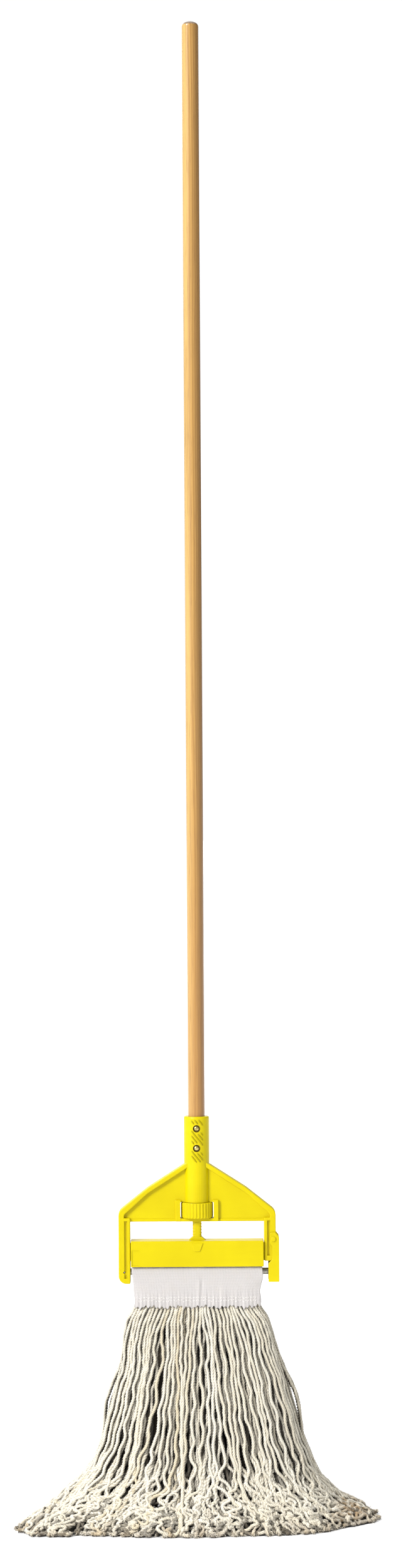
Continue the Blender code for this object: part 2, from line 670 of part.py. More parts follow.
def make_gate_pin(material):
    """The gate's hinge pin, headed at the front, and the push-on washer at its back."""
    place = (GATE_PIVOT[0], 0, GATE_PIVOT[1])
    face = RIM_HALF_DEPTH + GAP + GATE_WALL + GAP
    washer_back = face + 0.0008
    profile = [
        (0, -face - 0.0012),
        (0.76 * HINGE_HEAD_RADIUS, -face - 0.0011),
        (HINGE_HEAD_RADIUS, -face - 0.0005),
        (HINGE_HEAD_RADIUS, -face),
        (HINGE_PIN_RADIUS, -face),
        (HINGE_PIN_RADIUS, washer_back + 0.0006),
        (HINGE_PIN_RADIUS - 0.0004, washer_back + 0.0010),
        (0, washer_back + 0.0010),
    ]
    turned("gate_hinge_pin", profile, (0, 1, 0), place, RIVET_SIDES, material=material)
    section = [
        (HINGE_PIN_RADIUS + GAP, face),
        (HINGE_HEAD_RADIUS, face),
        (HINGE_HEAD_RADIUS, washer_back),
        (HINGE_PIN_RADIUS + GAP, washer_back),
    ]
    turned("gate_pin_washer", section, (0, 1, 0), place, RIVET_SIDES, True, material)


# ---------------------------------------------------------------- headband and yarn
def make_headband(material):
    """The mesh band folded over the yarn: a thin closed sheet with an inner and an outer side."""
    inner = FOLD_RADIUS + GAP + 0.0001
    sides = 5
    path = []
    for k in range(sides):
        share = k / sides
        height = BAND_BOTTOM + (CROSSBAR_Z - BAND_BOTTOM) * share
        path.append((-BAND_FLARE + (BAND_FLARE - inner) * share, height, -1, 0))
    for k in range(13):
        turn = pi * k / 12
        path.append((-inner * cos(turn), CROSSBAR_Z + inner * sin(turn), -cos(turn), sin(turn)))
    path += [(-y, z, -ny, nz) for y, z, ny, nz in reversed(path[:sides])]
    bm = bmesh.new()
    rows = []
    for y, z, out_y, out_z in path:
        drop = max(0.0, CROSSBAR_Z - z) / (CROSSBAR_Z - BAND_BOTTOM)
        half = BAND_HALF_WIDTH - 0.0030 * min(1.0, 1.6 * drop)
        outer_y = y + BAND_THICKNESS * out_y
        outer_z = z + BAND_THICKNESS * out_z
        corners = [(-half, y, z), (half, y, z), (half, outer_y, outer_z), (-half, outer_y, outer_z)]
        rows.append([bm.verts.new(c) for c in corners])
    for lower, upper in zip(rows, rows[1:]):
        for i in range(4):
            j = (i + 1) % 4
            bm.faces.new((lower[i], lower[j], upper[j], upper[i]))
    bm.faces.new(rows[0])
    bm.faces.new(rows[-1])
    return make_object("headband", bm, material)


def make_yarn_fold(material):
    """The middle of the yarn, bent over the crossbar."""
    leg = YARN_LEVELS[0][0][0] + 0.0007
    centre = (0, CROSSBAR_Z)
    hole = CROSSBAR_RADIUS + GAP
    outline = arc(centre, FOLD_RADIUS, 0, 180, 12)
    outline += [Vector((-FOLD_RADIUS, leg)), Vector((-hole, leg))]
    outline += arc(centre, hole, 180, 0, 10)
    outline += [Vector((hole, leg)), Vector((FOLD_RADIUS, leg))]
    return prism("yarn_fold", outline, -FOLD_HALF_WIDTH, FOLD_HALF_WIDTH, "YZ", material=material)


def yarn_point(ring, squareness, turn, facing):
    """A point on a level's ring at an angle from the middle, on the front or the back."""
    height, half_width, half_depth = ring
    across = sin(turn)
    depth = half_depth * (1 - abs(across) ** squareness) ** (1 / squareness)
    return (half_width * across, facing * max(depth, YARN_MIDDLE_GAP), height)


def make_yarn_bundle(name, facing, angles, material):
    """One bundle of strands: a thick skirt sector that flares to a flat foot on the floor."""
    first = angles[0] + (YARN_SPLIT_GAP if angles[0] > -90 else 0)
    last = angles[1] - (YARN_SPLIT_GAP if angles[1] < 90 else 0)
    bm = bmesh.new()
    stations = []
    for k in range(YARN_STATIONS):
        turn = radians(first + (last - first) * k / (YARN_STATIONS - 1))
        outer = []
        inner = []
        for outer_ring, inner_ring, squareness in YARN_LEVELS:
            outer.append(bm.verts.new(yarn_point(outer_ring, squareness, turn, facing)))
            inner.append(bm.verts.new(yarn_point(inner_ring, squareness, turn, facing)))
        stations.append((outer, inner))
    for (outer_a, inner_a), (outer_b, inner_b) in zip(stations, stations[1:]):
        for k in range(len(YARN_LEVELS) - 1):
            bm.faces.new((outer_a[k], outer_a[k + 1], outer_b[k + 1], outer_b[k]))
            bm.faces.new((inner_a[k], inner_b[k], inner_b[k + 1], inner_a[k + 1]))
        bm.faces.new((outer_a[0], outer_b[0], inner_b[0], inner_a[0]))
        bm.faces.new((outer_a[-1], inner_a[-1], inner_b[-1], outer_b[-1]))
    for outer, inner in (stations[0], stations[-1]):
        for k in range(len(YARN_LEVELS) - 1):
            bm.faces.new((outer[k], outer[k + 1], inner[k + 1], inner[k]))
    return make_object(name, bm, material)


# ---------------------------------------------------------------- assembly
def main():
    clear_scene()
    yellow = make_material("yellow_plastic", YELLOW, 0.42)
    wood = make_material("lacquered_wood", WOOD, 0.35)
    steel = make_material("zinc_steel", STEEL, 0.35, 1.0)
    cotton = make_material("cotton_yarn", COTTON, 0.95)
    band = make_material("mesh_band", BAND_WHITE, 0.8)

    make_pole(wood)
    make_rivets(steel)
    make_head_frame(yellow)
    make_thumbwheel(yellow)
    make_clamp_bar(yellow)
    make_crossbar(steel)
    make_gate(yellow)
    make_gate_pin(steel)
    make_headband(band)
    make_yarn_fold(cotton)
    for half, facing in (("front", -1), ("back", 1)):
        for part, angles in YARN_SPLITS.items():
            make_yarn_bundle("yarn_" + half + "_" + part, facing, angles, cotton)


main()
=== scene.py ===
"""Looks of the string mop: cotton strands, mesh headband, lacquered pole and moulded plastic head.

Metres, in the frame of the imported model: the mop stands on z = 0, its front faces -Y and the
gate is on its +X side. Every new piece is mesh code, and every pattern is made of shader nodes.
"""

from math import cos, pi, radians, sin

import bpy
import numpy as np
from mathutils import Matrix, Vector


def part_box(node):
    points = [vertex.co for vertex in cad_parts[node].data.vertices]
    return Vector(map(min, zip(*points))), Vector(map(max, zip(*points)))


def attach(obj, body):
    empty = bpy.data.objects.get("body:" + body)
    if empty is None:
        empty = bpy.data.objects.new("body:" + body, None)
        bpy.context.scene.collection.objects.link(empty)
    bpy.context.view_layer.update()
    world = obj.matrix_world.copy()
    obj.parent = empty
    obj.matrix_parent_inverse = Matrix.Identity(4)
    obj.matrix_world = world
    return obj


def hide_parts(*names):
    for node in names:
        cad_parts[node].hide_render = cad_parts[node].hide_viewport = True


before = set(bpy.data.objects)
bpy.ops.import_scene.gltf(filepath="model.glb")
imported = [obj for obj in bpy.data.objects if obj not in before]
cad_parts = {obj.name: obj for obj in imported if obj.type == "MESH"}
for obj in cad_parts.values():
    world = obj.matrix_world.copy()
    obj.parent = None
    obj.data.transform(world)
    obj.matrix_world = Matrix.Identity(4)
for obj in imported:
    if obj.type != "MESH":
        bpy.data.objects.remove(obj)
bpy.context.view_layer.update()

# ---------------------------------------------------------------- named sizes
CAMERA_DISTANCE = 5.0
CAMERA_SIDE = 0.0087  # to the right of the pole's axis
CAMERA_ROLL = 0.006  # radians, so that the pole leans a little to the left
CAMERA_HEIGHT = 0.976
FRAMED_HEIGHT = 2.076  # what the picture's long side covers at the pole
SENSOR = 36.0

STRAND_RADIUS = 0.00250
LOBE = 0.14  # how far a ply stands out, as a share of the radius
TWIST_PITCH = 0.0150
LAYER_COUNTS = (42, 42, 38, 66, 64, 56)  # side by side: four layers inward, then two in the foot
LAYER_DEPTHS = (0, 1, 2, 3, 0.3, 0.9)
LAYER_STARTS = (0.0, 0.0, 0.0, 0.0, 0.60, 0.68)  # fall at which the strands show
LAYER_ENDS = ((0.95, 1.0), (0.93, 1.0), (0.90, 1.0), (0.86, 0.97), (0.90, 1.0), (0.94, 1.0))
LAYER_PLIES = (4, 4, 3, 3, 3, 3)
LAYER_SHADE = (0.0, 0.20, 0.92, 1.0, 0.22, 0.75)  # painted shade, darker for the inner strands
RING_STEPS = (0.0021, 0.0023, 0.0038, 0.0050, 0.0031, 0.0031)  # between two rings of a tube
FOLD_COUNT = 38
BEND_STEPS = 12  # over the crossbar
TAN_SHARE = 0.03  # of all strands
FRAY_FIBRES = 7  # at each cut end
FRAY_REACH = (0.003, 0.007)
BOW_HEIGHT, BOW_SPAN, BOW_REACH = 0.165, 0.035, 0.008  # a loose strand on each side bows outward
# the ply valleys and the shade value carry painted shade; tone and soil are the yarn's own colour
YARN_VALUES = ("tone", "groove", "soil", "shade")
BUNDLE_SPLIT = 0.42  # share of the width where the middle bundle ends
STAIN_CENTRE = (0.200, -0.02, 0.018)  # a tan stain in the foot's right tip
STAIN_REACH = (0.022, 0.060, 0.013)
END_DROOP = 0.8  # how far a cut end near the rim bends down to the floor
END_SWELL = 0.18  # how much thicker a cut end is
LEFT_TUCK = 0.085  # the left half hangs this share narrower than the right at mid height
TIP_REACH = (0.13, 0.235)  # the foot's two tips, out from the middle
LEFT_TIP_FORWARD, RIGHT_TIP_BACK = 0.048, 0.022
MIDDLE_GAP = 0.0015  # the front and the back strands stay this far off the middle plane
LIFT_OFF_FLOOR = 1.3  # lowest centre of a strand, in strand radii
FREE_FALL = (0.05, 0.30)  # fall over which the strands come free of the band
PILE_FALL = (0.62, 0.95)  # fall over which they gather in the foot's pile
START_DEPTH = 0.009  # a foot strand comes up from this deep in the pile
SHARE_LIMIT = 0.999  # keeps a strand just inside the skirt's side edges
CLUMP_WAVES = 7
CLUMP_LENGTHS = (0.10, 0.45)  # in share
CLUMP_SIZE = 0.042  # largest drift, as a part of a wave's length
SPRING_BACK = 10  # per metre: how strongly a strand returns to its own place
TRACE_STEP = 0.0025
LONGEST_STEPS = 230
# A strand's sideways swing in degrees and the length of one wave, by how far it has fallen.
SWING_AT = (0.0, 0.10, 0.35, 0.60, 0.74, 0.86, 0.94, 1.0)
SWING = (3.0, 6.0, 7.0, 9.0, 22.0, 52.0, 78.0, 88.0)
SWING_LENGTH = (0.09, 0.075, 0.055, 0.046, 0.034, 0.024, 0.020, 0.018)

# The skirt's outer surface: height, half width, half depth, squareness of the cross section.
SKIRT = (
    (0.3255, 0.0840, 0.0112, 8.0),
    (0.3030, 0.0815, 0.0140, 7.0),
    (0.2860, 0.0835, 0.0165, 6.0),
    (0.2690, 0.0955, 0.0240, 5.0),
    (0.2300, 0.1070, 0.0335, 4.0),
    (0.1700, 0.1250, 0.0465, 3.4),
    (0.1100, 0.1425, 0.0610, 3.0),
    (0.0650, 0.1630, 0.0770, 2.6),
    (0.0380, 0.1900, 0.0930, 2.4),
    (0.0220, 0.2200, 0.1080, 2.2),
    (0.0080, 0.2460, 0.1200, 2.2),
)
BAND_WIDTH = 0.173
BAND_LENGTH = 0.127
BAND_THICKNESS = 0.0008
BAND_COLUMNS = 132
BAND_ROWS = 100
BAND_CREASE_X = 0.006
BAND_HUG = 0.0022  # how far the band's side edges bend in toward the yarn
PLEATS = 44
YARN_RIB_PITCH = 0.0052  # the yarn shows through the band as low ribs
STITCH_ROWS = (0.0085, 0.0125)  # from each hem
STITCH_LENGTH, STITCH_PITCH, THREAD_RADIUS = 0.0026, 0.0034, 0.00026

PAINTED_SHADE_FROM_X = 0.0090  # from here the pole's right side is darkened as painted shade
SOCKET_RADIUS = 0.01665
RIB_ZONE = 0.060  # from the socket's mouth down
RIB_REACH = (-24, 29)  # degrees around the socket from its front
RIB_PITCH = 0.0066
RIB_RADIUS = 0.0011
RIB_SLOPE = 1.25  # fall to run around the socket
RIB_STEPS = 18
RIVET_CLEARANCE = 0.0062
RECESS_RADIUS = 0.0046  # around each rivet, where the plastic is darkened as painted shade

rng = np.random.default_rng(27)


# ---------------------------------------------------------------- shader helpers
def add_node(tree, kind, inputs=None, **settings):
    """Add a node; an input is a plain value, or the socket that feeds it."""
    node = tree.nodes.new(kind)
    for key, value in settings.items():
        setattr(node, key, value)
    for key, value in (inputs or {}).items():
        if isinstance(value, bpy.types.NodeSocket):
            tree.links.new(value, node.inputs[key])
        else:
            node.inputs[key].default_value = value
    return node


def new_material(name):
    """A material with its node tree and its Principled shader."""
    made = bpy.data.materials.new(name)
    made.use_nodes = True
    return made, made.node_tree, made.node_tree.nodes["Principled BSDF"]


def placed(tree, scale, location=(0, 0, 0)):
    """The piece's own coordinates, moved and stretched."""
    source = add_node(tree, "ShaderNodeTexCoord").outputs["Object"]
    inputs = {"Vector": source, "Scale": scale, "Location": location}
    return add_node(tree, "ShaderNodeMapping", inputs).outputs["Vector"]


def noise(tree, vector, scale=1.0, detail=3.0, roughness=0.5):
    """A noise value from 0 to 1."""
    inputs = {"Vector": vector, "Scale": scale, "Detail": detail, "Roughness": roughness}
    return add_node(tree, "ShaderNodeTexNoise", inputs).outputs["Fac"]


def spread(tree, value, low, high, to_low=0.0, to_high=1.0):
    """A value mapped from one range to another, clamped."""
    inputs = {0: value, 1: low, 2: high, 3: to_low, 4: to_high}
    return add_node(tree, "ShaderNodeMapRange", inputs).outputs[0]


def math_node(tree, operation, a, b=0.0):
    """One arithmetic step."""
    return add_node(tree, "ShaderNodeMath", {0: a, 1: b}, operation=operation).outputs[0]


def mixed(tree, share, first, second):
    """Two colours mixed by a share."""
    node = add_node(tree, "ShaderNodeMix", data_type="RGBA")
    for key, value in ((0, share), (6, first), (7, second)):
        if isinstance(value, bpy.types.NodeSocket):
            tree.links.new(value, node.inputs[key])
        elif key == 0:
            node.inputs[key].default_value = value
        else:
            node.inputs[key].default_value = (*value, 1.0)
    return node.outputs[2]


def attribute(tree, name, output="Fac"):
    """A value stored on the mesh's points."""
    return add_node(tree, "ShaderNodeAttribute", attribute_name=name).outputs[output]


def bumped(tree, shader, height, strength, distance):
    """Feed a height into the shader's normal."""
    inputs = {"Height": height, "Strength": strength, "Distance": distance}
    node = add_node(tree, "ShaderNodeBump", inputs)
    tree.links.new(node.outputs["Normal"], shader.inputs["Normal"])


def set_values(shader, **values):
    """Set shader sockets that are the same all over the surface."""
    for key, value in values.items():
        shader.inputs[key.replace("_", " ")].default_value = value


# ---------------------------------------------------------------- materials
def axis_distance(tree, name):
    """How far a point lies from a rivet's axis."""
    low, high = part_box(name)
    centre = (low + high) / 2
    inputs = {"Vector": placed(tree, (1, 1, 1)), "Location": tuple(-centre), "Scale": (1, 0, 1)}
    moved = add_node(tree, "ShaderNodeMapping", inputs).outputs["Vector"]
    return add_node(tree, "ShaderNodeVectorMath", {0: moved}, operation="LENGTH").outputs["Value"]


def make_plastic(name, light):
    """Yellow moulded polypropylene: uneven pigment, flow marks, fine grain, handling scuffs and painted
    shade round the rivets.

    light scales the pigment's brightness; below 1 it makes a darker copy, used as painted shade.
    """

    def pigment(*colour):
        return tuple(light * part for part in colour)

    material, tree, shader = new_material(name)
    place = placed(tree, (1, 1, 1))
    cloudy = noise(tree, place, 14.0, 3.0)
    first, second = pigment(0.585, 0.482, 0.0002), pigment(0.535, 0.430, 0.0001)
    colour = mixed(tree, spread(tree, cloudy, 0.35, 0.7), first, second)
    flow = noise(tree, placed(tree, (9, 9, 70)), 1.0, 4.0)
    colour = mixed(tree, spread(tree, flow, 0.5, 0.72, 0.0, 0.35), colour, pigment(0.61, 0.515, 0.001))
    streak = noise(tree, placed(tree, (260, 260, 34), (0.4, 0.1, 0.7)), 1.0, 5.0, 0.7)
    scuff = spread(tree, streak, 0.66, 0.74)
    colour = mixed(tree, math_node(tree, "MULTIPLY", scuff, 0.3), colour, (0.65, 0.585, 0.05))
    # painted shade: the plastic turns near black in a ring round each rivet's recess
    rings = [axis_distance(tree, rivet) for rivet in ("rivet_upper", "rivet_lower")]
    near = math_node(tree, "MINIMUM", *rings)
    painted_recess_shade = spread(tree, near, RECESS_RADIUS, RECESS_RADIUS + 0.0006, 0.92, 0.0)
    colour = mixed(tree, painted_recess_shade, colour, (0.075, 0.045, 0.004))
    tree.links.new(colour, shader.inputs["Base Color"])
    grain = noise(tree, place, 1500.0, 2.0)
    rough = spread(tree, cloudy, 0.3, 0.7, 0.34, 0.44)
    rough = math_node(tree, "ADD", rough, math_node(tree, "MULTIPLY", scuff, 0.15))
    tree.links.new(rough, shader.inputs["Roughness"])
    height = math_node(tree, "ADD", math_node(tree, "MULTIPLY", grain, 0.3), cloudy)
    bumped(tree, shader, height, 0.25, 0.0004)
    set_values(shader, Specular_IOR_Level=0.15)
    return material


def make_wood():
    """Lacquered ash: rings cut lengthwise, painted shade on its right side and a painted highlight on its
    left, end grain darkened with painted shade at the top, pores and a clear coat.
    """
    material, tree, shader = new_material("lacquered_wood")
    drift = noise(tree, placed(tree, (30, 30, 1.6)), 1.0, 3.0)
    bent = add_node(tree, "ShaderNodeVectorMath", {0: placed(tree, (1, 1, 0.012), (0.034, 0.052, 0))})
    shifted = add_node(tree, "ShaderNodeCombineXYZ", {"X": math_node(tree, "MULTIPLY", drift, 0.012)})
    tree.links.new(shifted.outputs[0], bent.inputs[1])
    wave = {"Vector": bent.outputs[0], "Scale": 110.0, "Distortion": 1.2, "Detail": 2.0, "Detail Scale": 1.4}
    ringed = add_node(tree, "ShaderNodeTexWave", wave, wave_type="RINGS", rings_direction="Z")
    rings = ringed.outputs["Fac"]
    broad = noise(tree, placed(tree, (55, 55, 2.2), (0.2, 0.5, 0.9)), 1.0, 2.0)
    pores = noise(tree, placed(tree, (1500, 1500, 26)), 1.0, 3.0, 0.6)
    pore = spread(tree, pores, 0.56, 0.72)
    colour = mixed(tree, spread(tree, rings, 0.1, 0.95), (0.46, 0.255, 0.068), (0.32, 0.158, 0.037))
    colour = mixed(tree, spread(tree, broad, 0.3, 0.7, 0.0, 0.55), colour, (0.53, 0.31, 0.088))
    place = add_node(tree, "ShaderNodeSeparateXYZ", {0: placed(tree, (1, 1, 1))}).outputs
    # painted shade: the right side of the pole is darkened
    wandering = math_node(tree, "ADD", place["X"], math_node(tree, "MULTIPLY", broad, 0.018))
    painted_right_shade = spread(tree, wandering, PAINTED_SHADE_FROM_X, PAINTED_SHADE_FROM_X + 0.009)
    colour = mixed(tree, math_node(tree, "MULTIPLY", painted_right_shade, 0.75), colour, (0.20, 0.098, 0.025))
    # painted highlight: the left third of the pole is lightened
    painted_left_highlight = spread(tree, place["X"], -0.0025, -0.0075)
    colour = mixed(tree, math_node(tree, "MULTIPLY", painted_left_highlight, 0.5), colour, (0.68, 0.465, 0.16))
    pole_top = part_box("handle_pole")[1].z
    lower_end = spread(tree, place["Z"], 1.05, 0.56, 0.0, 0.5)
    colour = mixed(tree, lower_end, colour, (0.36, 0.165, 0.036))
    # the top of the dome is darkened: darker end grain, and painted shade on the dome
    end_grain_and_shade = spread(tree, place["Z"], pole_top - 0.0060, pole_top - 0.0035, 0.0, 0.9)
    colour = mixed(tree, end_grain_and_shade, colour, (0.075, 0.048, 0.030))
    band = noise(tree, placed(tree, (420, 420, 5), (0.7, 0.1, 0.4)), 1.0, 3.0, 0.6)
    colour = mixed(tree, spread(tree, band, 0.55, 0.75, 0.0, 0.5), colour, (0.27, 0.135, 0.045))
    colour = mixed(tree, math_node(tree, "MULTIPLY", pore, 0.6), colour, (0.20, 0.090, 0.030))
    tree.links.new(colour, shader.inputs["Base Color"])
    tree.links.new(spread(tree, pores, 0.3, 0.75, 0.36, 0.5), shader.inputs["Roughness"])
    height = math_node(tree, "SUBTRACT", math_node(tree, "MULTIPLY", rings, 0.3), pore)
    bumped(tree, shader, height, 0.18, 0.0002)
    set_values(shader, Coat_Weight=0.8, Coat_Roughness=0.24, Coat_IOR=1.5, Specular_IOR_Level=0.2)
    return material


def make_steel(name, bright, dull):
    """Plated steel: drawing lines along the bar, spangle and dull spots."""
    material, tree, shader = new_material(name)
    lines = noise(tree, placed(tree, (60, 1900, 1900)), 1.0, 3.0)
    spots = noise(tree, placed(tree, (1, 1, 1)), 420.0, 3.0)
    colour = mixed(tree, spread(tree, spots, 0.4, 0.7), bright, dull)
    tree.links.new(colour, shader.inputs["Base Color"])
    tree.links.new(spread(tree, lines, 0.3, 0.7, 0.24, 0.42), shader.inputs["Roughness"])
    bumped(tree, shader, lines, 0.2, 0.0001)
    set_values(shader, Metallic=1.0)
    return material


def make_cotton():
    """Loose cotton yarn: each strand has its own shade, with soil at the cut ends, and painted shade in the
    ply valleys, on the inner strands and on each strand's inner side.
    """
    material, tree, shader = new_material("cotton_yarn")
    tone = attribute(tree, "tone")
    colour = mixed(tree, spread(tree, tone, 0.0, 0.8), (0.97, 0.94, 0.83), (0.89, 0.83, 0.68))
    colour = mixed(tree, spread(tree, tone, 0.8, 1.0), colour, (0.80, 0.70, 0.50))
    slub = noise(tree, placed(tree, (1, 1, 1)), 110.0, 3.0, 0.6)
    colour = mixed(tree, spread(tree, slub, 0.45, 0.75, 0.0, 0.45), colour, (0.98, 0.96, 0.89))
    fleck = noise(tree, placed(tree, (1, 1, 1), (0.3, 0.3, 0.3)), 640.0, 2.0)
    colour = mixed(tree, spread(tree, fleck, 0.62, 0.8, 0.0, 0.35), colour, (0.50, 0.38, 0.22))
    soil = math_node(tree, "MULTIPLY", attribute(tree, "soil"), 0.85)
    colour = mixed(tree, soil, colour, (0.36, 0.20, 0.065))
    # painted shade: the ply valleys are darkened
    groove = math_node(tree, "MULTIPLY", attribute(tree, "groove"), 0.6)
    colour = mixed(tree, groove, colour, (0.36, 0.29, 0.18))
    # painted shadow: inner strands and each strand's inward side are darkened to near black
    shade = math_node(tree, "MULTIPLY", attribute(tree, "shade"), 0.98)
    colour = mixed(tree, shade, colour, (0.020, 0.013, 0.006))
    tree.links.new(colour, shader.inputs["Base Color"])
    fibre = noise(tree, placed(tree, (1, 1, 1)), 1700.0, 3.0, 0.7)
    bumped(tree, shader, fibre, 0.5, 0.0004)
    set_values(shader, Roughness=0.95, Specular_IOR_Level=0.12, Sheen_Weight=0.15, Sheen_Roughness=0.5)
    return material


def make_mesh_cloth():
    """The headband's plain weave, with the holes between its threads painted darker as shade."""
    material, tree, shader = new_material("woven_mesh_band")
    cloth = attribute(tree, "cloth", "Vector")
    wave = {"Vector": cloth, "Scale": 230.0, "Distortion": 0.6, "Detail": 2.0, "Detail Scale": 3.0}
    threads = []
    for direction in ("X", "Y"):
        banded = add_node(tree, "ShaderNodeTexWave", wave, wave_type="BANDS", bands_direction=direction)
        threads.append(banded.outputs["Fac"])
    weave = math_node(tree, "MAXIMUM", *threads)
    soft = noise(tree, cloth, 70.0, 3.0)
    # the holes between threads get the darker colour: painted shade
    colour = mixed(tree, spread(tree, weave, 0.1, 0.6), (0.32, 0.30, 0.295), (0.535, 0.51, 0.50))
    colour = mixed(tree, spread(tree, soft, 0.45, 0.75, 0.0, 0.3), colour, (0.50, 0.46, 0.42))
    tree.links.new(colour, shader.inputs["Base Color"])
    bumped(tree, shader, weave, 0.7, 0.0004)
    set_values(shader, Roughness=0.85, Sheen_Weight=0.2, Sheen_Roughness=0.4)
    return material


def make_thread():
    """Twisted sewing thread."""
    material, tree, shader = new_material("sewing_thread")
    twist = noise(tree, placed(tree, (1, 1, 1)), 2400.0, 2.0)
    colour = mixed(tree, twist, (0.72, 0.70, 0.66), (0.90, 0.88, 0.85))
    tree.links.new(colour, shader.inputs["Base Color"])
    bumped(tree, shader, twist, 0.4, 0.0001)
    set_values(shader, Roughness=0.7)
    return material


# ---------------------------------------------------------------- mesh helpers
def make_mesh_object(name, points, faces, material, values=None):
    """A smooth object from arrays, with values stored on its points."""
    mesh = bpy.data.meshes.new(name)
    mesh.from_pydata(points, [], faces)
    mesh.shade_smooth()
    mesh.materials.append(material)
    for key, (kind, data) in (values or {}).items():
        stored = mesh.attributes.new(key, kind, "POINT")
        stored.data.foreach_set("vector" if kind == "FLOAT_VECTOR" else "value", np.ravel(data))
    made = bpy.data.objects.new(name, mesh)
    bpy.context.scene.collection.objects.link(made)
    return made


def along(points):
    """The distance along a line at each of its points."""
    steps = np.linalg.norm(np.diff(points, axis=0), axis=1)
    return np.concatenate([[0.0], np.cumsum(steps)])


def smooth_line(points, step):
    """Points at an even step on a smooth curve through the given ones."""
    ends = np.vstack([2 * points[0] - points[1], points, 2 * points[-1] - points[-2]])
    a, b, c, d = ends[:-3], ends[1:-2], ends[2:-1], ends[3:]
    pieces = []
    for t in np.linspace(0, 1, 6, endpoint=False):
        lead = 2 * b + (c - a) * t + (2 * a - 5 * b + 4 * c - d) * t**2
        pieces.append(0.5 * (lead + (3 * b - a - 3 * c + d) * t**3))
    dense = np.stack(pieces, axis=1).reshape(-1, 3)
    dense = np.vstack([dense, points[-1]])
    distance = along(dense)
    count = max(4, int(distance[-1] / step))
    even = np.linspace(0, distance[-1], count + 1)
    return np.column_stack([np.interp(even, distance, dense[:, k]) for k in range(3)])


def frames_along(line):
    """Two directions across a line at each point, turning as little as they can."""
    tangents = np.gradient(line, axis=0)
    tangents /= np.linalg.norm(tangents, axis=1, keepdims=True)
    side = np.cross(tangents[0], (0.3, 1.0, 0.2))
    sides = np.empty_like(line)
    for k, tangent in enumerate(tangents):
        side = side - tangent * side.dot(tangent)
        side = side / np.linalg.norm(side)
        sides[k] = side
    return sides, np.cross(tangents, sides)


def spokes_around(line, spokes, turns=0.0):
    """Unit directions from each point of a line to the points of its ring, twisted by turns."""
    sides, ups = frames_along(line)
    untwisted = 2 * pi * np.arange(spokes) / spokes
    angles = untwisted[None, :] + np.broadcast_to(turns, len(line))[:, None]
    return sides[:, None, :] * np.cos(angles)[:, :, None] + ups[:, None, :] * np.sin(angles)[:, :, None]


class Tubes:
    """Collects closed tubes into one mesh, with values on their points."""

    def __init__(self):
        self.points, self.faces, self.values = [], [], []
        self.count = 0

    def add(self, line, radii, spokes, values):
        """Add a tube from tables of ring by spoke: radii, directions and values."""
        self.points.append((line[:, None, :] + spokes * radii[:, :, None]).reshape(-1, 3))
        rings, n = radii.shape
        start = self.count + n * np.arange(rings - 1)[:, None]
        here = np.arange(n)[None, :]
        following = (here + 1) % n
        quads = np.stack([start + here, start + following, start + n + following, start + n + here], axis=2)
        self.faces += quads.reshape(-1, 4).tolist()
        self.faces.append([self.count + k for k in reversed(range(n))])
        last = self.count + n * (rings - 1)
        self.faces.append([last + k for k in range(n)])
        self.values.append(values.reshape(-1, values.shape[-1]))
        self.count += rings * n

    def build(self, name, material, keys):
        """Make the object, storing each column of the values under its key."""
        values = np.vstack(self.values)
        stored = {key: ("FLOAT", values[:, k]) for k, key in enumerate(keys)}
        return make_mesh_object(name, np.vstack(self.points), self.faces, material, stored)


# ---------------------------------------------------------------- cotton strands
def ease(value, low, high):
    """0 below low, 1 above high, smooth between."""
    t = np.clip((value - low) / (high - low), 0, 1)
    return t * t * (3 - 2 * t)


def fade(value, low, high):
    """1 below low, 0 above high, smooth between."""
    return ease(-value, -high, -low)


def rippled(distance, longest, shortest, count=3):
    """A wandering offset of about unit size along a strand."""
    total = np.zeros_like(distance)
    for _ in range(count):
        length = rng.uniform(shortest, longest)
        total += rng.uniform(0.5, 1.0) * np.sin(2 * pi * distance / length + rng.uniform(0, 2 * pi))
    return total / count


